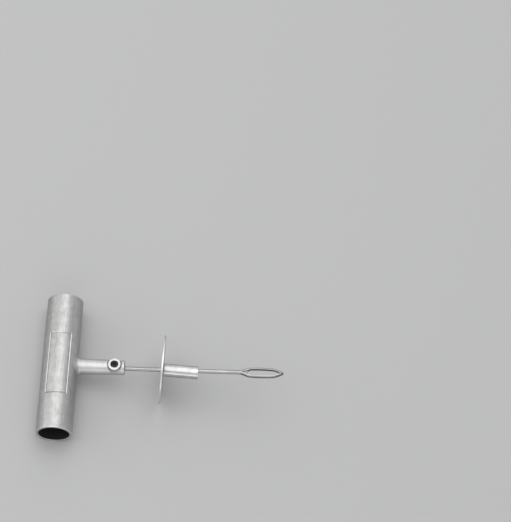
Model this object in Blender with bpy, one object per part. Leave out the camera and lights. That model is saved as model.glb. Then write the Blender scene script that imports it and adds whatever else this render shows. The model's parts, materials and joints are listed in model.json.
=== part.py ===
"""Tyre plug insertion tool: a die-cast T-handle that clamps a split-eye needle, with a depth-stop collar.

Every shape below is modelled in the tool's own frame: the origin is where the barrel's axis meets the stem's,
+X runs along the stem and needle to the tip, +Y along the barrel, and +Z towards the set screw.
At the end the whole tool is tilted about Y and set down, to lie on its barrel and on the stop disc's rim.
"""

import math

import bmesh
import bpy
from mathutils import Euler, Vector

MM = 0.001

# Barrel of the T-handle. The bore narrows towards the middle, as the draft of two core pins leaves it.
BARREL_LENGTH = 98.5 * MM
BARREL_MIDDLE_Y = -0.6 * MM
BARREL_RADIUS = 12.1 * MM
BARREL_EDGE = 0.5 * MM
MOUTH_WALL = 1.8 * MM
MIDDLE_WALL = 2.6 * MM
BARREL_SEGMENTS = 64

# Blank label panel, sunk into the barrel's upper side
PANEL_LENGTH = 45.6 * MM
PANEL_MIDDLE_Y = -2.5 * MM
PANEL_HALF_ANGLE = math.radians(37.0)
PANEL_DEPTH = 0.4 * MM
PANEL_SLOPE = 0.6 * MM

# Stem, drafted towards its end, with a cast fillet at its root
STEM_END = 43.7 * MM
STEM_ROOT_RADIUS = 5.4 * MM
STEM_END_RADIUS = 4.8 * MM
STEM_FILLET = 2.4 * MM
STEM_EDGE = 0.4 * MM
STEM_SEGMENTS = 40

# Bore in the stem that takes the needle
NEEDLE_BORE_RADIUS = 2.9 * MM
NEEDLE_BORE_BOTTOM = 14.0 * MM
DRILL_POINT = 1.2 * MM
BORE_CHAMFER = 0.3 * MM

# Boss for the set screw, on the stem's upper side
BOSS_X = 37.0 * MM
BOSS_TOP = 5.8 * MM
BOSS_RADIUS = 4.3 * MM
BOSS_EDGE = 0.35 * MM
# The boss's wall below its top edge, as (height above the stem's axis, radius)
BOSS_WALL = ((0.0, 4.4 * MM), (2.2 * MM, 4.7 * MM), (3.3 * MM, 4.5 * MM))
SCREW_HOLE_RADIUS = 2.65 * MM
HOLE_CHAMFER = 0.25 * MM

# Hex-socket set screw, drawn at its thread's root
SCREW_CLEARANCE = 0.3 * MM
SCREW_RECESS = 0.6 * MM
SOCKET_ACROSS_FLATS = 3.0 * MM
SOCKET_DEPTH = 2.2 * MM

# Needle. The screw presses it to the bottom of its bore, so it lies below the stem's axis.
NEEDLE_RADIUS = 1.4 * MM
NEEDLE_DROP = NEEDLE_BORE_RADIUS - NEEDLE_RADIUS - 0.3 * MM
NEEDLE_TAIL = 14.6 * MM
NEEDLE_TAIL_CHAMFER = 0.4 * MM
EYE_ARM = 1.35 * MM
EYE_WEB_END = 126.6 * MM
EYE_ROOT_ROUNDING = 2.2 * MM
EYE_OPENING_END = 148.6 * MM
# Half-width of the eye along the needle, as (distance, half-width)
EYE_OUTLINE = (
    (121.6 * MM, 1.40 * MM),
    (123.4 * MM, 1.92 * MM),
    (127.6 * MM, 3.36 * MM),
    (134.5 * MM, 3.70 * MM),
    (143.2 * MM, 3.42 * MM),
    (147.4 * MM, 2.25 * MM),
    (150.3 * MM, 0.85 * MM),
)
TIP_HALF_HEIGHT = 0.8 * MM
TIP_CAP = 0.35 * MM
TIP_CAP_SHARE = 0.6

# Depth-stop collar: a plain tube with a round plate at its handle end. It hangs askew on the needle, with its
# free end turned towards -Y and down.
DISC_X = 69.1 * MM
DISC_RADIUS = 23.2 * MM
DISC_THICKNESS = 1.2 * MM
DISC_EDGE = 0.3 * MM
COLLAR_TURN = math.radians(1.9)
COLLAR_DROOP = math.radians(3.5)
SLEEVE_END = 24.2 * MM
SLEEVE_RADIUS = 4.35 * MM
SLEEVE_BORE_RADIUS = 3.4 * MM
SLEEVE_FILLET = 0.9 * MM
JOINT_GAP = 0.3 * MM
ROUND_SEGMENTS = 48


def clear_scene():
    for thing in list(bpy.data.objects):
        bpy.data.objects.remove(thing, do_unlink=True)


def material(name, colour, roughness, metallic=1.0):
    """A Principled BSDF material."""
    made = bpy.data.materials.new(name)
    made.use_nodes = True
    shader = made.node_tree.nodes["Principled BSDF"]
    shader.inputs["Base Color"].default_value = (*colour, 1.0)
    shader.inputs["Roughness"].default_value = roughness
    shader.inputs["Metallic"].default_value = metallic
    return made


def empty(name, location, rotation=(0.0, 0.0, 0.0), parent=None):
    made = bpy.data.objects.new(name, None)
    bpy.context.scene.collection.objects.link(made)
    made.location = location
    made.rotation_euler = rotation
    made.parent = parent
    made.empty_display_size = 0.01
    return made


def solid(name, bm, parent, look=None):
    """Turns a bmesh into a closed, outward-facing, smooth-shaded object under a parent."""
    bmesh.ops.remove_doubles(bm, verts=bm.verts, dist=1e-6)
    bmesh.ops.recalc_face_normals(bm, faces=bm.faces)
    mesh = bpy.data.meshes.new(name)
    bm.to_mesh(mesh)
    bm.free()
    mesh.shade_smooth()
    mesh.set_sharp_from_angle(angle=math.radians(35))
    made = bpy.data.objects.new(name, mesh)
    bpy.context.scene.collection.objects.link(made)
    made.parent = parent
    if look:
        mesh.materials.append(look)
    return made


def boolean(target, helper, operation):
    """Joins a helper solid to the target or cuts it out, and hides the helper."""
    step = target.modifiers.new(f"{operation.lower()}_{helper.name}", "BOOLEAN")
    step.operation = operation
    step.solver = "EXACT"
    step.object = helper
    helper.hide_render = True
    helper.display_type = "WIRE"


def turned(profile, axis, segments, ring=False, centre=(0.0, 0.0, 0.0)):
    """Spins a profile of (distance along the axis, radius) points about the X, Y or Z axis through centre.

    The profile starts and ends on the axis, unless it is a ring, which closes on itself.
    """
    along = Vector([float(letter == axis) for letter in "XYZ"])
    out = Vector([float(letter == "YZX"["XYZ".index(axis)]) for letter in "XYZ"])
    centre = Vector(centre)
    bm = bmesh.new()
    points = [bm.verts.new(centre + along * distance + out * radius) for distance, radius in profile]
    edges = [bm.edges.new(pair) for pair in zip(points, points[1:])]
    if ring:
        edges.append(bm.edges.new((points[-1], points[0])))
    bmesh.ops.spin(bm, geom=points + edges, cent=centre, axis=along, angle=math.tau, steps=segments)
    return bm


def lofted(rings):
    """Joins rings of equally many points into a skin, and caps both ends."""
    bm = bmesh.new()
    loops = [[bm.verts.new(point) for point in ring] for ring in rings]
    for first, second in zip(loops, loops[1:]):
        for i in range(len(first)):
            j = (i + 1) % len(first)
            bm.faces.new((first[i], first[j], second[j], second[i]))
    bm.faces.new(loops[0])
    bm.faces.new(reversed(loops[-1]))
    return bm


def arc(centre, radius, start, end, steps):
    """Points of a profile's round edge, from one angle to the other, in degrees."""
    angles = [math.radians(start + (end - start) * i / steps) for i in range(steps + 1)]
    return [(centre[0] + radius * math.cos(a), centre[1] + radius * math.sin(a)) for a in angles]


def smooth_value(points, x):
    """Reads a smooth curve through (x, value) points, with slopes that never overshoot."""
    spans = [(b[1] - a[1]) / (b[0] - a[0]) for a, b in zip(points, points[1:])]
    slopes = [0.0]
    for before, after in zip(spans, spans[1:]):
        slopes.append(0.0 if before * after <= 0 else 2 * before * after / (before + after))
    slopes.append(spans[-1])
    if x <= points[0][0]:
        return points[0][1]
    for i, (a, b) in enumerate(zip(points, points[1:])):
        if x <= b[0]:
            width = b[0] - a[0]
            t = (x - a[0]) / width
            start = (2 * t**3 - 3 * t**2 + 1) * a[1] + (t**3 - 2 * t**2 + t) * width * slopes[i]
            return start + (3 * t**2 - 2 * t**3) * b[1] + (t**3 - t**2) * width * slopes[i + 1]
    return points[-1][1]


def barrel(parent, look):
    """The outside of the barrel, still without its bore."""
    half = BARREL_LENGTH / 2
    edge = BARREL_EDGE
    far_edge = arc((half - edge, BARREL_RADIUS - edge), edge, 90, 0, 4)
    near_edge = [(-distance, radius) for distance, radius in reversed(far_edge)]
    profile = [(-half, 0.0), *near_edge, *far_edge, (half, 0.0)]
    bm = turned(profile, "Y", BARREL_SEGMENTS, centre=(0.0, BARREL_MIDDLE_Y, 0.0))
    return solid("handle_casting", bm, parent, look)


def barrel_bore(parent):
    """The barrel's bore, from mouth to mouth."""
    half = BARREL_LENGTH / 2
    past = half + 2 * MM
    mouth = BARREL_RADIUS - MOUTH_WALL
    middle = BARREL_RADIUS - MIDDLE_WALL
    profile = [(-past, 0.0), (-past, mouth), (-half, mouth), (0.0, middle)]
    profile += [(half, mouth), (past, mouth), (past, 0.0)]
    bm = turned(profile, "Y", BARREL_SEGMENTS, centre=(0.0, BARREL_MIDDLE_Y, 0.0))
    return solid("barrel_bore_helper", bm, parent)


def label_panel(parent):
    """What is cut away for the label panel: a slice of a tube whose ends and sides slope in towards its floor."""
    half = PANEL_LENGTH / 2
    steps = 14
    proud = 1 * MM
    levels = (
        (BARREL_RADIUS - PANEL_DEPTH, PANEL_SLOPE),
        (BARREL_RADIUS + proud, -PANEL_SLOPE * proud / PANEL_DEPTH),
    )
    rings = []
    for radius, inset in levels:
        reach = PANEL_HALF_ANGLE - inset / BARREL_RADIUS
        angles = [-reach + 2 * reach * i / steps for i in range(steps + 1)]
        side = [(radius * math.sin(a), radius * math.cos(a)) for a in angles]
        near = [Vector((x, PANEL_MIDDLE_Y + inset - half, z)) for x, z in side]
        far = [Vector((x, PANEL_MIDDLE_Y + half - inset, z)) for x, z in reversed(side)]
        rings.append(near + far)
    bm = bmesh.new()
    floor, roof = ([bm.verts.new(point) for point in ring] for ring in rings)
    count = len(floor)
    for i in range(count):
        j = (i + 1) % count
        bm.faces.new((floor[i], floor[j], roof[j], roof[i]))
    for loop in (floor, roof):
        for i in range(steps):
            bm.faces.new((loop[i], loop[i + 1], loop[count - 2 - i], loop[count - 1 - i]))
    return solid("label_panel_helper", bm, parent)


def stem(parent):
    """The stem. Its first rings follow the barrel's round skin, so that the root fillet runs into it."""
    angles = [math.tau * i / STEM_SEGMENTS for i in range(STEM_SEGMENTS)]
    sunk = 0.15 * MM
    inside_barrel = 4 * MM
    foot = STEM_ROOT_RADIUS + STEM_FILLET
    steps = 6
    rings = [[Vector((inside_barrel, foot * math.cos(a), foot * math.sin(a))) for a in angles]]
    for i in range(steps + 1):
        turn = math.pi / 2 * i / steps
        radius = STEM_ROOT_RADIUS + STEM_FILLET * (1 - math.sin(turn))
        height = STEM_FILLET * (1 - math.cos(turn)) - sunk
        ring = []
        for a in angles:
            y, z = radius * math.cos(a), radius * math.sin(a)
            ring.append(Vector((math.sqrt(BARREL_RADIUS**2 - z**2) + height, y, z)))
        rings.append(ring)
    for distance, radius in arc((STEM_END - STEM_EDGE, STEM_END_RADIUS - STEM_EDGE), STEM_EDGE, 90, 0, 3):
        rings.append([Vector((distance, radius * math.cos(a), radius * math.sin(a))) for a in angles])
    return solid("stem_helper", lofted(rings), parent)


def boss(parent):
    """The round boss around the screw hole, with draft and a small fillet at its base."""
    top_edge = arc((BOSS_TOP - BOSS_EDGE, BOSS_RADIUS - BOSS_EDGE), BOSS_EDGE, 90, 0, 3)
    profile = [(0.0, 0.0), *BOSS_WALL, *top_edge, (BOSS_TOP, 0.0)]
    return solid("boss_helper", turned(profile, "Z", ROUND_SEGMENTS, centre=(BOSS_X, 0.0, 0.0)), parent)


def needle_bore(parent):
    """The blind bore that takes the needle, with a drill point at its bottom."""
    past = STEM_END + 2 * MM
    wide = NEEDLE_BORE_RADIUS + BORE_CHAMFER
    profile = [(NEEDLE_BORE_BOTTOM - DRILL_POINT, 0.0), (NEEDLE_BORE_BOTTOM, NEEDLE_BORE_RADIUS)]
    profile += [(STEM_END - BORE_CHAMFER, NEEDLE_BORE_RADIUS), (STEM_END, wide), (past, wide), (past, 0.0)]
    return solid("needle_bore_helper", turned(profile, "X", ROUND_SEGMENTS), parent)


def screw_hole(parent):
    """The set screw's hole, from the boss's face into the needle bore."""
    past = BOSS_TOP + 2 * MM
    wide = SCREW_HOLE_RADIUS + HOLE_CHAMFER
    profile = [(0.0, 0.0), (0.0, SCREW_HOLE_RADIUS), (BOSS_TOP - HOLE_CHAMFER, SCREW_HOLE_RADIUS)]
    profile += [(BOSS_TOP, wide), (past, wide), (past, 0.0)]
    return solid("screw_hole_helper", turned(profile, "Z", ROUND_SEGMENTS, centre=(BOSS_X, 0.0, 0.0)), parent)


def handle_casting(parent):
    look = material("cast_aluminium", (0.62, 0.60, 0.58), 0.42)
    casting = barrel(parent, look)
    for helper in (stem(parent), boss(parent)):
        boolean(casting, helper, "UNION")
    for helper in (label_panel(parent), barrel_bore(parent), needle_bore(parent), screw_hole(parent)):
        boolean(casting, helper, "DIFFERENCE")
    return casting


def set_screw(axis):
    """The grub screw, with its origin where its axis meets the stem's. It stands just clear of the needle."""
    look = material("black_oxide", (0.03, 0.03, 0.03), 0.4)
    radius = SCREW_HOLE_RADIUS - SCREW_CLEARANCE
    bottom = NEEDLE_RADIUS - NEEDLE_DROP + SCREW_CLEARANCE
    top = BOSS_TOP - SCREW_RECESS
    bevel = 0.3 * MM
    profile = [(bottom, 0.0), (bottom, radius - 2 * bevel), (bottom + 2 * bevel, radius)]
    profile += [(top - bevel, radius), (top, radius - bevel), (top, 0.0)]
    screw = solid("set_screw", turned(profile, "Z", ROUND_SEGMENTS), axis, look)
    corner = SOCKET_ACROSS_FLATS / 2 / math.cos(math.radians(30))
    past = top + 1 * MM
    socket = [(top - SOCKET_DEPTH, 0.0), (top - SOCKET_DEPTH, corner), (past, corner), (past, 0.0)]
    boolean(screw, solid("hex_socket_helper", turned(socket, "Z", 6), axis), "DIFFERENCE")
    return screw


def eye_section(x):
    """Half-width and half-height of the needle at a distance along it."""
    half_width = smooth_value(EYE_OUTLINE, x)
    thinning_from = EYE_OUTLINE[-3][0]
    share = max(0.0, (x - thinning_from) / (EYE_OUTLINE[-1][0] - thinning_from))
    half_height = NEEDLE_RADIUS + (TIP_HALF_HEIGHT - NEEDLE_RADIUS) * share**2
    return half_width, half_height


def needle_ring(x, half_width, half_height, per_side=10):
    """A cross-section of the needle: two half-rounds, moved apart where the eye is wide."""
    apart = max(half_width - half_height, 0.0)
    round_width = min(half_width, half_height)
    ring = []
    for side in (1, -1):
        for i in range(per_side + 1):
            a = side * math.pi / 2 - math.pi * i / per_side
            y = side * apart + round_width * math.cos(a)
            ring.append(Vector((x, y, half_height * math.sin(a))))
    return ring


def needle(axis):
    """The needle, with its origin on its own axis at the stem's end. Distances along it stay the tool's."""
    look = material("needle_steel", (0.50, 0.48, 0.46), 0.28)
    shift = Vector((STEM_END, 0.0, 0.0))
    eye_start, eye_end = EYE_OUTLINE[0][0], EYE_OUTLINE[-1][0]
    steps = 40
    stations = [eye_start + (eye_end - eye_start) * i / steps for i in range(steps + 1)]
    tail_radius = NEEDLE_RADIUS - NEEDLE_TAIL_CHAMFER
    rings = [needle_ring(NEEDLE_TAIL, tail_radius, tail_radius)]
    rings += [needle_ring(x, *eye_section(x)) for x in (NEEDLE_TAIL + NEEDLE_TAIL_CHAMFER, *stations)]
    rings.append(needle_ring(eye_end + TIP_CAP, *(TIP_CAP_SHARE * size for size in eye_section(eye_end))))
    rings = [[point - shift for point in ring] for ring in rings]
    body = solid("needle", lofted(rings), axis, look)
    boolean(body, eye_opening(axis, shift), "DIFFERENCE")
    return body


def eye_opening(axis, shift):
    """The through-opening between the eye's two arms, round at its root and pointed towards the tip."""
    steps = 30
    side = []
    for i in range(steps + 1):
        x = EYE_WEB_END + (EYE_OPENING_END - EYE_WEB_END) * (1 - math.cos(math.pi * i / steps)) / 2
        gap = smooth_value(EYE_OUTLINE, x) - EYE_ARM
        to_round = max(0.0, (EYE_WEB_END + EYE_ROOT_ROUNDING - x) / EYE_ROOT_ROUNDING)
        gap *= math.sqrt(max(0.0, 1 - to_round**2))
        side.append((x, max(gap, 0.0)))
    outline = [(x, -y) for x, y in side] + [(x, y) for x, y in reversed(side) if y > 0]
    deep = 2 * NEEDLE_RADIUS
    rings = [[Vector((x, y, z)) - shift for x, y in outline] for z in (-deep, deep)]
    return solid("eye_opening_helper", lofted(rings), axis)


def guide_sleeve(axis):
    """The collar's tube, with its origin on the needle's axis at the middle of the disc."""
    look = material("plated_steel", (0.66, 0.65, 0.63), 0.25)
    start = DISC_THICKNESS / 2 + JOINT_GAP
    edge = 0.3 * MM
    outer, inner, fillet = SLEEVE_RADIUS, SLEEVE_BORE_RADIUS, SLEEVE_FILLET
    flare = arc((start + fillet, outer + fillet), fillet, 180, 270, 4)
    end = arc((SLEEVE_END - edge, outer - edge), edge, 90, 0, 3)
    profile = [(start, inner), *flare, *end, (SLEEVE_END, inner + edge), (SLEEVE_END - edge, inner)]
    return solid("guide_sleeve", turned(profile, "X", ROUND_SEGMENTS, ring=True), axis, look)


def stop_disc(axis):
    """The collar's round plate, with softened rims."""
    look = material("plated_steel_disc", (0.66, 0.65, 0.63), 0.22)
    half, edge = DISC_THICKNESS / 2, DISC_EDGE
    front = arc((half - edge, DISC_RADIUS - edge), edge, 0, 90, 3)
    back = [(-distance, radius) for distance, radius in reversed(front)]
    profile = [(-half, SLEEVE_BORE_RADIUS), (half, SLEEVE_BORE_RADIUS), *front, *back]
    return solid("stop_disc", turned(profile, "X", 96, ring=True), axis, look)


def disc_height(tilt, collar_turn):
    """How high the stop disc's rim is over the stem's axis at the barrel, when the needle rises by a tilt."""
    up = Vector((math.sin(tilt), 0.0, math.cos(tilt)))
    middle = Vector((DISC_X, 0.0, -NEEDLE_DROP)).dot(up)
    lean = abs((collar_turn.to_matrix() @ Vector((1.0, 0.0, 0.0))).dot(up))
    reach = (DISC_RADIUS - DISC_EDGE) * math.sqrt(1 - lean**2) + (DISC_THICKNESS / 2 - DISC_EDGE) * lean
    return middle - reach - DISC_EDGE


def resting_tilt(collar_turn):
    """Angle that the needle rises by when the barrel and the disc's rim both touch the ground."""
    low, high = 0.0, math.radians(30)
    for _ in range(40):
        tilt = (low + high) / 2
        if disc_height(tilt, collar_turn) < -BARREL_RADIUS:
            low = tilt
        else:
            high = tilt
    return low


def set_down(tool, pieces):
    """Moves the tool so that the ground is at zero height under it and the origin is at its middle."""
    bpy.context.view_layer.update()
    graph = bpy.context.evaluated_depsgraph_get()
    corners = []
    for piece in pieces:
        shown = piece.evaluated_get(graph)
        corners += [shown.matrix_world @ vertex.co for vertex in shown.data.vertices]
    low = [min(corner[i] for corner in corners) for i in range(3)]
    high = [max(corner[i] for corner in corners) for i in range(3)]
    tool.location = (-(low[0] + high[0]) / 2, -(low[1] + high[1]) / 2, -low[2])


def build():
    clear_scene()
    collar_turn = Euler((0.0, COLLAR_DROOP, -COLLAR_TURN))
    tool = empty("tool", (0.0, 0.0, 0.0), Euler((0.0, -resting_tilt(collar_turn), 0.0)))
    screw_axis = empty("screw_axis", (BOSS_X, 0.0, 0.0), parent=tool)
    needle_axis = empty("needle_axis", (STEM_END, 0.0, -NEEDLE_DROP), parent=tool)
    collar_axis = empty("collar_axis", (DISC_X - STEM_END, 0.0, 0.0), collar_turn, needle_axis)
    pieces = [
        handle_casting(tool),
        set_screw(screw_axis),
        needle(needle_axis),
        guide_sleeve(collar_axis),
        stop_disc(collar_axis),
    ]
    set_down(tool, pieces)


build()
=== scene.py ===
"""Looks of the tyre plug insertion tool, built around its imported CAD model.

Every piece is described by a function that gives the distance from its surface, in millimetres, in the
piece's own frame: +X along the needle to its tip, +Y along the barrel, +Z towards the set screw. A mesh is
laid on the surface where that distance is zero, refined where the surface turns, and gets its normals from
the same function. So fillets and rounded edges are real geometry.
"""

import json
import math

import bmesh
import bpy
import numpy as np
from mathutils import Matrix, Vector


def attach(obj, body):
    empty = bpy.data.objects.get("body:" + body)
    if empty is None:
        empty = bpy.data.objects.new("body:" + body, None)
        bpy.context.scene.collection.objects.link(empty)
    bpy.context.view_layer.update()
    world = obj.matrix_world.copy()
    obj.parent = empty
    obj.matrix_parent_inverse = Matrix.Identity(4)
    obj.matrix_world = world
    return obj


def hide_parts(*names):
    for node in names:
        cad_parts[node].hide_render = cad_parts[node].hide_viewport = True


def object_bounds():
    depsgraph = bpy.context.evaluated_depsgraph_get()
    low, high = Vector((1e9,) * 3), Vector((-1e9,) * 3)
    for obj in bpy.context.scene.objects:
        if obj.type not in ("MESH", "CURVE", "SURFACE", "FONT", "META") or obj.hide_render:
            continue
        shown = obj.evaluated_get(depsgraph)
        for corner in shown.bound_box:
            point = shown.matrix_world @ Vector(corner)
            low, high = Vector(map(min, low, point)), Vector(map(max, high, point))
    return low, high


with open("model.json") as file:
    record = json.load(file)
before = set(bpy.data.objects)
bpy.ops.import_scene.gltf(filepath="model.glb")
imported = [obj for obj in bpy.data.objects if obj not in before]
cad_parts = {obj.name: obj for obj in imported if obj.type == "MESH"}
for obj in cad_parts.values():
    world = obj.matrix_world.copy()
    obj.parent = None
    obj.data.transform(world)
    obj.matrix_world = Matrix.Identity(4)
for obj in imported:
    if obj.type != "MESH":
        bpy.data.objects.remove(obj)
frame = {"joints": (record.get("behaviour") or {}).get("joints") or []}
CAD_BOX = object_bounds()
MM = 0.001

# Barrel (millimetres, as are all sizes of the pieces)
BARREL_LENGTH = 98.5
BARREL_MIDDLE_Y = -0.6
BARREL_RADIUS = 12.1
BARREL_EDGE = 0.5
MOUTH_WALL = 1.8
MIDDLE_WALL = 2.6
MOUTH_EDGE = 0.4

# Blank label panel, sunk into the barrel
PANEL_LENGTH = 45.6
PANEL_MIDDLE_Y = -2.5
PANEL_HALF_ANGLE = math.radians(37.0)
PANEL_DEPTH = 0.4
PANEL_SIDE_SLOPE = 0.8
PANEL_END_SLOPE = 1.3
PANEL_CORNER = 0.7

# Stem, boss and bores
STEM_END = 43.7
STEM_ROOT_X = 14.5
STEM_ROOT_RADIUS = 5.4
STEM_END_RADIUS = 4.8
STEM_FILLET = 2.4
STEM_EDGE = 0.4
BOSS_X = 37.0
BOSS_TOP = 5.8
BOSS_RADIUS = 4.3
BOSS_DRAFT = 0.09
BOSS_DRAFT_REACH = 4.0
BOSS_EDGE = 0.4
BOSS_FILLET = 0.7
SCREW_HOLE_RADIUS = 2.65
HOLE_EDGE = 0.25
NEEDLE_BORE_RADIUS = 2.9
NEEDLE_BORE_BOTTOM = 14.0
DRILL_POINT = 1.2
BORE_EDGE = 0.3

# Set screw
SCREW_TOP = 5.2
SCREW_BOTTOM = 0.5
SCREW_RADIUS = 2.35
THREAD_PITCH = 1.0
THREAD_DEPTH = 0.27
SCREW_TOP_CHAMFER = 0.35
SCREW_POINT_CHAMFER = 0.6
SCREW_EDGE = 0.1
SOCKET_ACROSS_FLATS = 3.0
SOCKET_DEPTH = 2.2
SOCKET_FLOOR_SLOPE = 0.25
SOCKET_EDGE = 0.08

# Needle and its eye
NEEDLE_DROP = 1.2
NEEDLE_RADIUS = 1.4
NEEDLE_TAIL = 14.6
NEEDLE_END_EDGE = 0.4
EYE_ARM = 1.35
EYE_SEAM_START = 121.8
EYE_WEB_END = 126.6
EYE_ROOT_ROUNDING = 2.2
EYE_OPENING_END = 147.9
EYE_NARROWEST_GAP = 0.35
EYE_CORNER = 0.3
EYE_EDGE = 0.2
WEB_HALF_HEIGHT = 0.9
WEB_RAMP = 1.6
WEB_PAST_FORK = 0.6
WEB_SIDE_SLOPE = 0.25
GROOVE_HALF_WIDTH = 0.35
GROOVE_HALF_HEIGHT = 0.4
GROOVE_RAMP = 1.0
GROOVE_SIDE_SLOPE = 0.2
RECESS_EDGE = 0.12
EYE_OUTLINE = (
    (121.6, 1.40), (123.4, 1.92), (127.6, 3.36), (134.5, 3.70), (143.2, 3.42), (147.4, 2.25), (150.3, 0.85),
)
TIP_HALF_HEIGHT = 0.8
TIP_CAP = 0.35

# Collar
DISC_X = 69.1
DISC_RADIUS = 23.2
DISC_THICKNESS = 1.2
DISC_EDGE = 0.2
SLEEVE_START = 0.9
SLEEVE_END = 24.2
SLEEVE_RADIUS = 4.35
SLEEVE_BORE_RADIUS = 3.4
SLEEVE_FILLET = 0.9
SLEEVE_EDGE = 0.3
COLLAR_BORE_EDGE = 0.15

# Meshes: where the surface turns, edges longer than the first are split. Edges under the second are closed up
SHORTEST_SPLIT = 0.08
SHORTEST_EDGE = 0.004

# Stage: each light's name, direction, distance and size in metres, and brightness
LIGHTS = (
    ("overhead", (-0.16, 0.12, 1.0), 2.0, (2.8, 2.2), 1.4),
    ("left", (-1.0, 0.1, 0.45), 2.4, (2.4, 1.6), 1.05),
    ("right", (1.0, 0.1, 0.45), 2.4, (2.0, 1.4), 0.5),
    ("back", (0.0, 1.0, 0.42), 2.4, (2.6, 1.6), 0.65),
    ("front", (0.0, -1.0, 0.55), 2.4, (2.6, 1.2), 0.65),
    ("horizon", (0.0, -1.0, 0.12), 2.2, (2.8, 0.5), 1.5),
)
SKY_COLOUR = (0.95, 0.97, 1.0, 1.0)
SKY_BRIGHTNESS = 0.4
FLOOR_HALF_SIZE = 12.0
FLOOR_GAP = 0.02

# Camera, in the tool's own frame (millimetres)
CAMERA_LENS = 123.45
CAMERA_SENSOR = 36.0
CAMERA_PLACE = (136.6, -511.6, 1095.0)
CAMERA_AIM = (129.25, 85.27, 0.0)
CAMERA_RIGHT = (0.99938, 0.03084, 0.0107)


# ---------------------------------------------------------------- frames

def placement(origin, along, up):
    """The matrix of a piece's own frame: its origin, its +X and its +Z in the row's frame."""
    side = up.cross(along).normalized()
    matrix = Matrix((along, side, along.cross(side))).transposed().to_4x4()
    matrix.translation = origin
    return matrix


JOINTS = {joint["name"]: joint for joint in frame["joints"]}
ALONG = Vector(JOINTS["needle_extension"]["axis"]).normalized()
UP = Vector(JOINTS["set_screw_travel"]["axis"]).normalized()
COLLAR_MIDDLE = Vector(JOINTS["collar_spin"]["pos_m"])
TOOL_ORIGIN = COLLAR_MIDDLE - ALONG * DISC_X * MM + UP * NEEDLE_DROP * MM
TOOL = placement(TOOL_ORIGIN, ALONG, UP)
NEEDLE = placement(TOOL_ORIGIN - UP * NEEDLE_DROP * MM, ALONG, UP)
COLLAR = placement(COLLAR_MIDDLE, Vector(JOINTS["collar_spin"]["axis"]).normalized(), UP)


# ---------------------------------------------------------------- distances

def meet(a, b, edge=0.0):
    """What is inside both surfaces, with the edge between them rounded."""
    return np.minimum(np.maximum(a, b), -edge) + np.hypot(np.maximum(a + edge, 0), np.maximum(b + edge, 0))


def join(a, b, fillet=0.0):
    """What is inside either surface, with a fillet between them."""
    return -meet(-a, -b, fillet)


def cut(a, b, edge=0.0):
    """The first surface with the second taken out of it."""
    return meet(a, -b, edge)


def smooth_step(value, low, high):
    """Rises from 0 at the low value to 1 at the high one, without a kink."""
    share = np.clip((value - low) / (high - low), 0, 1)
    return share * share * (3 - 2 * share)


def smooth_curve(points, x):
    """Reads a smooth curve through (x, value) points, with slopes that never overshoot."""
    at = np.array(points, float)
    spans = np.diff(at[:, 1]) / np.diff(at[:, 0])
    slopes = np.zeros(len(at))
    same_way = spans[:-1] * spans[1:] > 0
    slopes[1:-1][same_way] = (2 * spans[:-1] * spans[1:] / (spans[:-1] + spans[1:]))[same_way]
    slopes[-1] = spans[-1]
    i = np.clip(np.searchsorted(at[:, 0], x) - 1, 0, len(spans) - 1)
    width = np.diff(at[:, 0])[i]
    t = np.clip((x - at[i, 0]) / width, 0, 1)
    start = (2 * t**3 - 3 * t**2 + 1) * at[i, 1] + (t**3 - 2 * t**2 + t) * width * slopes[i]
    return start + (3 * t**2 - 2 * t**3) * at[i + 1, 1] + (t**3 - t**2) * width * slopes[i + 1]


def panel_drop(x, y, z):
    """How far the blank label panel is sunk below the barrel's round skin."""
    side = (np.abs(np.arctan2(x, z)) - PANEL_HALF_ANGLE) * BARREL_RADIUS
    end = (np.abs(y - PANEL_MIDDLE_Y) - PANEL_LENGTH / 2) * PANEL_SIDE_SLOPE / PANEL_END_SLOPE
    return PANEL_DEPTH * smooth_step(-meet(side, end, PANEL_CORNER), 0, PANEL_SIDE_SLOPE)


def handle_casting(x, y, z):
    """The barrel with its sunk panel and open bore, the tapered stem, the boss and the holes in both."""
    along = np.abs(y - BARREL_MIDDLE_Y) - BARREL_LENGTH / 2
    from_axis = np.hypot(x, z)
    shape = meet(from_axis - BARREL_RADIUS + panel_drop(x, y, z), along, BARREL_EDGE)

    taper = (STEM_END_RADIUS - STEM_ROOT_RADIUS) / (STEM_END - STEM_ROOT_X)
    from_stem = np.hypot(y, z)
    stem_radius = STEM_ROOT_RADIUS + taper * (x - STEM_ROOT_X)
    stem = meet(meet(from_stem - stem_radius, x - STEM_END, STEM_EDGE), -x)
    from_boss = np.hypot(x - BOSS_X, y)
    boss_wall = from_boss - BOSS_RADIUS - BOSS_DRAFT * np.clip(BOSS_TOP - z, 0, BOSS_DRAFT_REACH)
    boss = meet(meet(boss_wall, z - BOSS_TOP, BOSS_EDGE), -z)
    shape = join(shape, join(stem, boss, BOSS_FILLET), STEM_FILLET)

    share = np.clip(1 + along / (BARREL_LENGTH / 2), 0, 1)
    bore = BARREL_RADIUS - MIDDLE_WALL + (MIDDLE_WALL - MOUTH_WALL) * share
    shape = cut(shape, from_axis - bore, MOUTH_EDGE)
    point = NEEDLE_BORE_RADIUS + (x - NEEDLE_BORE_BOTTOM) * NEEDLE_BORE_RADIUS / DRILL_POINT
    bore_wall = from_stem - np.minimum(NEEDLE_BORE_RADIUS, point)
    shape = cut(shape, meet(bore_wall, NEEDLE_BORE_BOTTOM - DRILL_POINT - x), BORE_EDGE)
    return cut(shape, meet(from_boss - SCREW_HOLE_RADIUS, -z), HOLE_EDGE)


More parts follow.
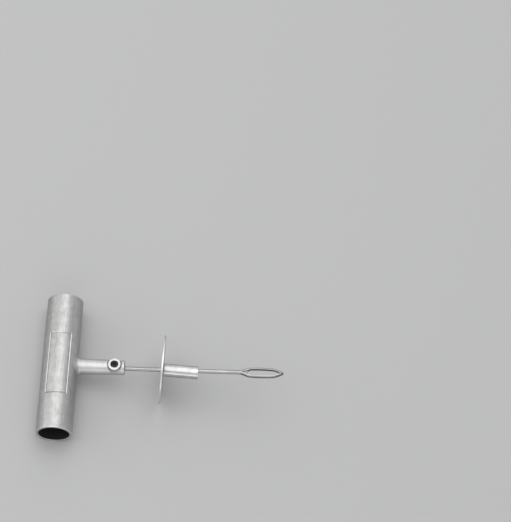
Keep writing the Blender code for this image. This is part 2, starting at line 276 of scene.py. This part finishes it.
def set_screw(x, y, z):
    """The threaded screw with a chamfer at each end, and its six-sided socket with a drilled floor."""
    x = x - BOSS_X
    from_axis = np.hypot(x, y)
    turn = z / THREAD_PITCH - np.arctan2(y, x) / math.tau
    groove = THREAD_DEPTH * (0.5 - 0.5 * np.cos(math.tau * turn)) ** 2
    body = meet(from_axis - SCREW_RADIUS + groove, z - SCREW_TOP, SCREW_EDGE)
    body = meet(body, (from_axis + z - SCREW_RADIUS - SCREW_TOP + SCREW_TOP_CHAMFER) / math.sqrt(2))
    body = meet(body, (from_axis - z - SCREW_RADIUS + SCREW_BOTTOM + SCREW_POINT_CHAMFER) / math.sqrt(2))
    body = meet(body, SCREW_BOTTOM - z, SCREW_EDGE)
    flats = [np.abs(x * math.cos(a) + y * math.sin(a)) for a in (math.pi / 6, math.pi / 2, math.pi * 5 / 6)]
    socket = np.maximum.reduce(flats) - SOCKET_ACROSS_FLATS / 2
    floor = SCREW_TOP - SOCKET_DEPTH - z + SOCKET_FLOOR_SLOPE * (from_axis - SOCKET_ACROSS_FLATS / 2)
    return cut(body, meet(socket, floor), SOCKET_EDGE)


def needle(x, y, z):
    """The round shaft, the eye's two arms, the recessed web at the eye's root and the groove at its tip."""
    eye_end = EYE_OUTLINE[-1][0]
    half_width = smooth_curve(EYE_OUTLINE, x)
    thinning = EYE_OUTLINE[-3][0]
    share = np.clip((x - thinning) / (eye_end - thinning), 0, 1)
    height = NEEDLE_RADIUS + (TIP_HALF_HEIGHT - NEEDLE_RADIUS) * share**2
    apart = np.maximum(half_width - height, 0)
    width = np.minimum(half_width, height)
    past = np.maximum(np.abs(y) - apart, 0)
    shape = (np.hypot(past / width, z / height) - 1) * width
    tip = x - eye_end - TIP_CAP
    shape = meet(meet(shape, tip, NEEDLE_END_EDGE), NEEDLE_TAIL - x, NEEDLE_END_EDGE)

    fork = EYE_WEB_END + EYE_ROOT_ROUNDING
    fork_half = float(smooth_curve(EYE_OUTLINE, np.array(fork))) - EYE_ARM
    seam = fork_half * np.clip((x - EYE_SEAM_START) / (fork - EYE_SEAM_START), 0, 1)
    web = smooth_step(seam - np.abs(y), -WEB_SIDE_SLOPE, WEB_SIDE_SLOPE)
    web = web * smooth_step(x, EYE_SEAM_START, EYE_SEAM_START + WEB_RAMP) * (x < fork + WEB_PAST_FORK)
    groove = smooth_step(GROOVE_HALF_WIDTH - np.abs(y), -GROOVE_SIDE_SLOPE, GROOVE_SIDE_SLOPE)
    groove = groove * smooth_step(x, EYE_OPENING_END - GROOVE_RAMP, EYE_OPENING_END)
    above = 2 * NEEDLE_RADIUS
    level = np.minimum(above + (WEB_HALF_HEIGHT - above) * web, above + (GROOVE_HALF_HEIGHT - above) * groove)
    shape = meet(shape, np.abs(z) - level, RECESS_EDGE)

    gap = np.maximum(half_width - EYE_ARM, EYE_NARROWEST_GAP)
    root = np.clip((fork - x) / EYE_ROOT_ROUNDING, 0, 1)
    eye = meet(np.abs(y) - gap * np.sqrt(np.clip(1 - root**2, 0, 1)), EYE_WEB_END - x)
    return cut(shape, meet(eye, x - EYE_OPENING_END, EYE_CORNER), EYE_EDGE)


def guide_sleeve(x, y, z):
    """The collar's tube, which flares out at its start to meet the disc."""
    from_axis = np.hypot(y, z)
    middle_x, middle_r = SLEEVE_START + SLEEVE_FILLET, SLEEVE_RADIUS + SLEEVE_FILLET
    flare = SLEEVE_FILLET - np.hypot(x - middle_x, from_axis - middle_r)
    beside = (x < middle_x) & (from_axis < middle_r)
    outer = np.where(beside, np.maximum(flare, from_axis - middle_r), from_axis - SLEEVE_RADIUS)
    outer = meet(outer, x - SLEEVE_END, SLEEVE_EDGE)
    outer = np.maximum(outer, SLEEVE_START - x)
    return cut(outer, from_axis - SLEEVE_BORE_RADIUS, COLLAR_BORE_EDGE)


def stop_disc(x, y, z):
    """The collar's thin round plate, with the same bore as the tube."""
    from_axis = np.hypot(y, z)
    outer = meet(from_axis - DISC_RADIUS, np.abs(x) - DISC_THICKNESS / 2, DISC_EDGE)
    return cut(outer, from_axis - SLEEVE_BORE_RADIUS, COLLAR_BORE_EDGE)


# ---------------------------------------------------------------- meshes

def slope(distance, points, step=0.01):
    """The distance at each point and its gradient there."""
    gradient = np.empty_like(points)
    for axis in range(3):
        shift = np.zeros(3)
        shift[axis] = step
        gradient[:, axis] = (distance(*(points + shift).T) - distance(*(points - shift).T)) / (2 * step)
    return distance(*points.T), gradient


def onto_surface(distance, points, steps=6, reach=0.5):
    """Moves points to where the distance is zero, and returns them with their outward normals."""
    for _ in range(steps):
        value, gradient = slope(distance, points)
        size = np.maximum((gradient**2).sum(1), 0.05)
        points = points - gradient * np.clip(value / size, -reach, reach)[:, None]
    gradient = slope(distance, points)[1]
    length = np.maximum(np.linalg.norm(gradient, axis=1), 1e-6)
    return points, gradient / length[:, None]


def surface_net(distance, xs, ys, zs):
    """A closed quad mesh around the inside: a point in each grid cell that the surface passes through."""
    grid = np.stack(np.meshgrid(xs, ys, zs, indexing="ij"), -1)
    inside = distance(grid[..., 0], grid[..., 1], grid[..., 2]) < 0
    cells_x, cells_y, cells_z = (length - 1 for length in inside.shape)
    count = np.zeros((cells_x, cells_y, cells_z), int)
    for i in (0, 1):
        for j in (0, 1):
            for k in (0, 1):
                count += inside[i:cells_x + i, j:cells_y + j, k:cells_z + k]
    crossed = (count > 0) & (count < 8)
    number = np.full(crossed.shape, -1)
    number[crossed] = np.arange(crossed.sum())
    corner = (grid[:-1, :-1, :-1] + grid[1:, 1:, 1:]) / 2
    quads = []
    for axis in range(3):
        swapped = np.moveaxis(inside, axis, 0)
        cells = np.moveaxis(number, axis, 0)
        changes = swapped[:-1, 1:-1, 1:-1] != swapped[1:, 1:-1, 1:-1]
        leaving = swapped[:-1, 1:-1, 1:-1][changes]
        ring = [cells[:, a:cells.shape[1] - 1 + a, b:cells.shape[2] - 1 + b][changes]
                for a, b in ((0, 0), (1, 0), (1, 1), (0, 1))]
        faces = np.stack(ring, -1)
        turned_over = leaving == (axis == 1)
        faces[turned_over] = faces[turned_over][:, ::-1]
        quads.append(faces)
    return corner[crossed], np.concatenate(quads)


def refine(bm, distance, degrees):
    """Splits the edges along which the surface turns more than that, and lays all points on the surface."""
    points = np.array([vert.co for vert in bm.verts])
    normals = onto_surface(distance, points, 0)[1]
    ends = np.array([(edge.verts[0].index, edge.verts[1].index) for edge in bm.edges])
    turn = (normals[ends[:, 0]] * normals[ends[:, 1]]).sum(1)
    length = np.linalg.norm(points[ends[:, 0]] - points[ends[:, 1]], axis=1)
    wanted = (turn < math.cos(math.radians(degrees))) & (length > SHORTEST_SPLIT)
    edges = [edge for edge, split in zip(bm.edges, wanted) if split]
    if not edges:
        return False
    bmesh.ops.subdivide_edges(bm, edges=edges, cuts=1, use_grid_fill=True)
    bm.verts.index_update()
    points, _ = onto_surface(distance, np.array([vert.co for vert in bm.verts]), 4)
    for vert, point in zip(bm.verts, points):
        vert.co = point
    return True


def piece(name, distance, spacing, place, body, node, looks, turn=11, rounds=3):
    """Builds one piece from its distance function, and sets it in its place.

    The mesh keeps each point's place in the piece's own frame, in millimetres, for the materials.
    """
    corners, faces = surface_net(distance, *spacing)
    points, _ = onto_surface(distance, corners)
    bm = bmesh.new()
    verts = [bm.verts.new(point) for point in points]
    for face in faces:
        bm.faces.new([verts[i] for i in face])
    bm.verts.index_update()
    for _ in range(rounds):
        if not refine(bm, distance, turn):
            break
    bmesh.ops.dissolve_degenerate(bm, dist=SHORTEST_EDGE, edges=bm.edges[:])
    bmesh.ops.triangulate(bm, faces=bm.faces[:])
    points, normals = onto_surface(distance, np.array([vert.co for vert in bm.verts]))
    turned = np.array(place.to_3x3())
    for vert, point in zip(bm.verts, points @ turned.T * MM + np.array(place.translation)):
        vert.co = point
    mesh = bpy.data.meshes.new(name)
    bm.to_mesh(mesh)
    bm.free()
    mesh.shade_smooth()
    mesh.normals_split_custom_set_from_vertices(normals @ turned.T)
    own_place = mesh.attributes.new("own_place", "FLOAT_VECTOR", "POINT")
    own_place.data.foreach_set("vector", points.astype(np.float32).ravel())
    add_bend_attribute(mesh, distance, points)
    mesh.materials.append(looks)
    made = bpy.data.objects.new(name, mesh)
    bpy.context.scene.collection.objects.link(made)
    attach(made, body)
    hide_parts(node)


def add_bend_attribute(mesh, distance, points, reach=0.3):
    """Stores how sharply the surface bends at each point: above zero on edges, below zero in corners."""
    bend = -6 * distance(*points.T)
    for axis in range(3):
        shift = np.zeros(3)
        shift[axis] = reach
        bend = bend + distance(*(points + shift).T) + distance(*(points - shift).T)
    attribute = mesh.attributes.new("bend", "FLOAT", "POINT")
    attribute.data.foreach_set("value", (bend / reach**2).astype(np.float32))


def steps(*stretches):
    """Grid positions along one axis, from (start, end, spacing) stretches that follow each other."""
    values = [np.array([stretches[0][0]], float)]
    for start, end, spacing in stretches:
        count = max(1, round((end - start) / spacing))
        values.append(np.linspace(start, end, count + 1)[1:])
    return np.concatenate(values)


# ---------------------------------------------------------------- materials

class Look:
    """A material under construction: a node tree around one Principled shader."""

    def __init__(self, name, metallic, **sockets):
        self.material = bpy.data.materials.new(name)
        self.material.use_nodes = True
        self.tree = self.material.node_tree
        self.shader = self.tree.nodes["Principled BSDF"]
        self.shader.inputs["Metallic"].default_value = metallic
        for socket, value in sockets.items():
            self.shader.inputs[socket.replace("_", " ")].default_value = value
        self.place = self.node("ShaderNodeAttribute", {}, attribute_name="own_place").outputs["Vector"]

    def feed(self, socket, value):
        if isinstance(value, bpy.types.NodeSocket):
            self.tree.links.new(value, socket)
        else:
            socket.default_value = value

    def node(self, kind, inputs, **settings):
        made = self.tree.nodes.new(kind)
        for setting, value in settings.items():
            setattr(made, setting, value)
        for socket, value in inputs.items():
            self.feed(made.inputs[socket], value)
        return made

    def noise(self, per_mm, detail=3.0, roughness=0.5, place=None):
        """Soft noise from 0 to 1, with so many features per millimetre along X, Y and Z."""
        scaled = self.node("ShaderNodeVectorMath", {0: place or self.place, 1: per_mm}, operation="MULTIPLY")
        inputs = {"Vector": scaled.outputs[0], "Scale": 1.0, "Detail": detail, "Roughness": roughness}
        return self.node("ShaderNodeTexNoise", inputs).outputs[0]

    def span(self, value, low, high, to_low=0.0, to_high=1.0):
        """The value carried over from one range to another, and held at its ends."""
        return self.node("ShaderNodeMapRange", {"Value": value, "From Min": low, "From Max": high,
                                                "To Min": to_low, "To Max": to_high}).outputs[0]

    def sum(self, first, second):
        return self.node("ShaderNodeMath", {0: first, 1: second}, operation="ADD").outputs[0]

    def product(self, first, second):
        return self.node("ShaderNodeMath", {0: first, 1: second}, operation="MULTIPLY").outputs[0]

    def mix(self, share, first, second):
        made = self.node("ShaderNodeMix", {0: share}, data_type="RGBA")
        self.feed(made.inputs[6], first)
        self.feed(made.inputs[7], second)
        return made.outputs[2]

    def bend(self):
        """What add_bend_attribute stored."""
        return self.node("ShaderNodeAttribute", {}, attribute_name="bend").outputs["Fac"]

    def axis(self, letter):
        """One coordinate of the place in the piece's own frame, in millimetres."""
        return self.node("ShaderNodeSeparateXYZ", {0: self.place}).outputs[letter]

    def bump(self, height, depth_mm, normal=None):
        inputs = {"Height": height, "Distance": depth_mm * MM, "Strength": 1.0}
        if normal:
            inputs["Normal"] = normal
        return self.node("ShaderNodeBump", inputs).outputs[0]

    def finish(self, **outputs):
        for socket, value in outputs.items():
            self.feed(self.shader.inputs[socket.replace("_", " ")], value)
        return self.material


def grey(value, warmth=0.02):
    return (value, value * (1 - warmth / 2), value * (1 - warmth), 1.0)


def cast_aluminium():
    """Blasted die-casting: fine grain, lengthwise streaks, bright edges, painted shade in corners and a bore
    painted dark as shade.
    """
    look = Look("cast_handle", 1.0)
    x, z = look.axis("X"), look.axis("Z")
    mottle = look.noise((0.35, 0.22, 0.35), 4.0, 0.65)
    streaks = look.noise((1.1, 0.045, 1.1), 3.0, 0.6)
    grain = look.noise((1.6, 1.3, 1.6), 3.0, 0.65)
    tone = look.sum(look.span(mottle, 0.36, 0.64, 0.0, 0.4), look.span(streaks, 0.36, 0.64, 0.0, 0.28))
    tone = look.sum(tone, look.span(grain, 0.34, 0.66, 0.0, 0.32))
    colour = look.mix(tone, grey(0.42, 0.035), grey(0.64, 0.025))
    on_stem = look.span(x, BARREL_RADIUS + 0.5, BARREL_RADIUS + 3)
    colour = look.mix(look.product(on_stem, 0.6), colour, grey(0.66, 0.02))

    edges = look.span(look.bend(), 0.5, 2.2)
    colour = look.mix(edges, colour, grey(0.76, 0.015))
    # Painted shade: corners and creases, where the surface bends inwards, are darkened as if in shade.
    corners = look.span(look.bend(), -0.25, -1.0, 0.0, 0.7)
    colour = look.mix(corners, colour, grey(0.14, 0.05))

    # Painted shade: the inside of the barrel's bore is coloured near black, and made dull and not metallic,
    # to stand for the shade deep in the tube.
    across = look.sum(look.product(x, x), look.product(z, z))
    bore = BARREL_RADIUS - MOUTH_WALL
    inside = look.span(across, (bore + 0.15) ** 2, (bore + 0.02) ** 2)
    colour = look.mix(inside, colour, grey(0.018, 0.1))
    roughness = look.span(tone, 0.2, 0.9, 0.50, 0.38)
    roughness = look.sum(roughness, look.span(edges, 0.0, 1.0, 0.0, -0.12))
    roughness = look.sum(roughness, look.span(inside, 0.0, 1.0, 0.0, 0.4))
    grit = look.bump(grain, 0.06)
    return look.finish(Base_Color=colour, Metallic=look.span(inside, 0.0, 1.0, 1.0, 0.0), Roughness=roughness,
                       Specular_Tint=grey(0.6, 0.0), Normal=look.bump(streaks, 0.06, grit))


def black_oxide():
    """Black oxide on steel, rubbed through a little at the edges."""
    look = Look("black_screw", 0.7)
    wear = look.span(look.noise((1.5, 1.5, 1.5), 3.0), 0.4, 0.7)
    edges = look.product(look.span(look.bend(), 1.5, 6.0), wear)
    colour = look.mix(wear, grey(0.018, 0.0), grey(0.045, 0.05))
    colour = look.mix(edges, colour, grey(0.25, 0.05))
    return look.finish(Base_Color=colour, Roughness=look.span(wear, 0.0, 1.0, 0.45, 0.32))


def needle_steel():
    """Steel polished lengthwise and a little stained, with painted shade on the side walls of the eye and in
    corners.
    """
    look = Look("needle_steel", 1.0)
    lines = look.noise((0.08, 3.0, 3.0), 3.0, 0.6)
    stains = look.noise((0.12, 0.5, 0.5), 4.0, 0.6)
    tone = look.sum(look.span(lines, 0.3, 0.7, 0.0, 0.5), look.span(stains, 0.35, 0.65, 0.0, 0.5))
    colour = look.mix(tone, grey(0.30, 0.06), grey(0.50, 0.05))
    colour = look.mix(look.span(look.bend(), 1.8, 4.0, 0.0, 0.6), colour, grey(0.62, 0.03))
    # Painted shade: in the eye, the side walls (where Z is near zero) are darkened as if they faced shade.
    eye_shade_reach = look.span(look.axis("X"), EYE_SEAM_START - 2, EYE_SEAM_START + 1)
    height = look.axis("Z")
    low = look.span(look.product(height, height), 1.3, 0.4, 0.0, 0.8)
    colour = look.mix(look.product(eye_shade_reach, low), colour, grey(0.10, 0.1))
    # Painted shade: corners and creases of the eye and its seam are darkened as if in shade.
    corners = look.span(look.bend(), -0.3, -1.2, 0.0, 0.9)
    colour = look.mix(corners, colour, grey(0.04, 0.1))
    return look.finish(Base_Color=colour, Roughness=look.span(tone, 0.0, 1.0, 0.32, 0.20),
                       Specular_Tint=grey(0.4, 0.0), Normal=look.bump(lines, 0.02))


def plated(name, turned_place, light, dark, roughness):
    """Bright plated steel with fine turned lines."""
    look = Look(name, 1.0)
    place = turned_place(look)
    lines = look.noise((2.5, 2.5, 2.5), 3.0, 0.7, place)
    haze = look.noise((0.15, 0.15, 0.15), 4.0, 0.6)
    tone = look.sum(look.span(lines, 0.3, 0.7, 0.0, 0.4), look.span(haze, 0.35, 0.65, 0.0, 0.6))
    colour = look.mix(tone, grey(dark, 0.03), grey(light, 0.02))
    colour = look.mix(look.span(look.bend(), 0.8, 3.0, 0.0, 0.8), colour, grey(0.80, 0.015))
    rough = look.span(tone, 0.0, 1.0, roughness + 0.07, roughness - 0.03)
    return look.finish(Base_Color=colour, Roughness=rough, Specular_Tint=grey(0.7, 0.0),
                       Normal=look.bump(lines, 0.012))


def along_axis(look):
    """Noise that changes only along X, as turned lines around the tube do."""
    return look.node("ShaderNodeCombineXYZ", {"X": look.axis("X")}).outputs[0]


def from_axis(look):
    """Noise that changes only with the distance from the X axis, as lines turned on a face do."""
    flat = look.node("ShaderNodeVectorMath", {0: look.place, 1: (0, 1, 1)}, operation="MULTIPLY")
    length = look.node("ShaderNodeVectorMath", {0: flat.outputs[0]}, operation="LENGTH")
    return look.node("ShaderNodeCombineXYZ", {"X": length.outputs["Value"]}).outputs[0]


# ---------------------------------------------------------------- pieces

def build_pieces():
    half = BARREL_LENGTH / 2
    low_y, high_y = BARREL_MIDDLE_Y - half, BARREL_MIDDLE_Y + half
    panel_low, panel_high = PANEL_MIDDLE_Y - PANEL_LENGTH / 2, PANEL_MIDDLE_Y + PANEL_LENGTH / 2
    barrel_y = steps((low_y - 1, low_y + 1.5, 0.4), (low_y + 1.5, panel_low - 1, 0.9),
                     (panel_low - 1, panel_low + 1, 0.4), (panel_low + 1, -9, 0.9), (-9, 9, 0.5),
                     (9, panel_high - 1, 0.9), (panel_high - 1, panel_high + 1, 0.4),
                     (panel_high + 1, high_y - 1.5, 0.9), (high_y - 1.5, high_y + 1, 0.4))
    cross = steps((-13, 13, 0.5))
    tool_x = steps((-13, 15, 0.5), (15, 31, 0.8), (31, 44.7, 0.5))
    piece("handle", handle_casting, (tool_x, barrel_y, cross), TOOL, "handle", "handle_casting",
          cast_aluminium())

    screw_x = steps((BOSS_X - 2.7, BOSS_X + 2.7, 0.12))
    screw_y = steps((-2.7, 2.7, 0.12))
    screw_z = steps((0.2, 5.5, 0.12))
    piece("grub_screw", set_screw, (screw_x, screw_y, screw_z), TOOL, "screw", "set_screw",
          black_oxide(), turn=20, rounds=1)

    needle_x = steps((NEEDLE_TAIL - 0.5, NEEDLE_TAIL + 1, 0.2), (NEEDLE_TAIL + 1, 120.5, 0.6),
                     (120.5, 151.2, 0.2))
    needle_y = steps((-4.0, 4.0, 0.2))
    needle_z = steps((-1.8, 1.8, 0.2))
    piece("plug_needle", needle, (needle_x, needle_y, needle_z), NEEDLE, "needle", "needle",
          needle_steel(), rounds=2)

    sleeve_x = steps((0.6, 3.0, 0.3), (3.0, 23.5, 0.6), (23.5, 24.6, 0.3))
    round_y = steps((-5.6, 5.6, 0.3))
    piece("collar_tube", guide_sleeve, (sleeve_x, round_y, round_y), COLLAR, "sleeve", "guide_sleeve",
          plated("collar_sleeve", along_axis, 0.62, 0.48, 0.24), rounds=2)

    disc_x = steps((-0.9, 0.9, 0.3))
    disc_y = steps((-23.6, 23.6, 0.55))
    piece("collar_disc", stop_disc, (disc_x, disc_y, disc_y), COLLAR, "disc", "stop_disc",
          plated("collar_disc", from_axis, 0.74, 0.60, 0.38), rounds=2)


# ---------------------------------------------------------------- stage

def area_light(name, target, direction, distance, size, brightness):
    """A rectangular soft box that faces the target from a direction. Its power goes with its area."""
    data = bpy.data.lights.new(name, "AREA")
    data.shape = "RECTANGLE"
    data.size, data.size_y = size
    data.energy = brightness * math.pi * size[0] * size[1]
    lamp = bpy.data.objects.new(name, data)
    bpy.context.scene.collection.objects.link(lamp)
    direction = Vector(direction).normalized()
    lamp.location = target + direction * distance
    lamp.rotation_euler = (-direction).to_track_quat("-Z", "Y").to_euler()


def build_stage(target):
    """A plain pale floor just under the tool, six soft boxes around it and a dim sky."""
    floor_look = Look("floor", 0.0, Base_Color=grey(0.50, 0.01), Roughness=0.7)
    bm = bmesh.new()
    bmesh.ops.create_grid(bm, x_segments=1, y_segments=1, size=FLOOR_HALF_SIZE)
    mesh = bpy.data.meshes.new("floor")
    bm.to_mesh(mesh)
    bm.free()
    mesh.materials.append(floor_look.material)
    floor = bpy.data.objects.new("floor", mesh)
    bpy.context.scene.collection.objects.link(floor)
    floor.location.z = CAD_BOX[0].z - FLOOR_GAP * MM

    for name, direction, distance, size, brightness in LIGHTS:
        area_light(name, target, direction, distance, size, brightness)

    world = bpy.data.worlds.new("studio")
    world.use_nodes = True
    sky = world.node_tree.nodes["Background"]
    sky.inputs["Color"].default_value = SKY_COLOUR
    sky.inputs["Strength"].default_value = SKY_BRIGHTNESS
    bpy.context.scene.world = world
    bpy.context.scene.view_settings.view_transform = "Standard"


def build_camera():
    """Looks at a point beside the tool from in front and above, so that the tool lies at the lower left."""
    data = bpy.data.cameras.new("camera")
    data.lens = CAMERA_LENS
    data.sensor_width = CAMERA_SENSOR
    camera = bpy.data.objects.new("camera", data)
    bpy.context.scene.collection.objects.link(camera)
    place = Vector(CAMERA_PLACE) * MM
    right = Vector(CAMERA_RIGHT).normalized()
    back = (place - Vector(CAMERA_AIM) * MM).normalized()
    right = (right - back * right.dot(back)).normalized()
    own = Matrix((right, back.cross(right), back)).transposed().to_4x4()
    own.translation = place
    camera.matrix_world = TOOL @ own
    data.clip_start, data.clip_end = 0.05, 30.0
    bpy.context.scene.camera = camera


build_pieces()
build_stage((CAD_BOX[0] + CAD_BOX[1]) / 2)
build_camera()
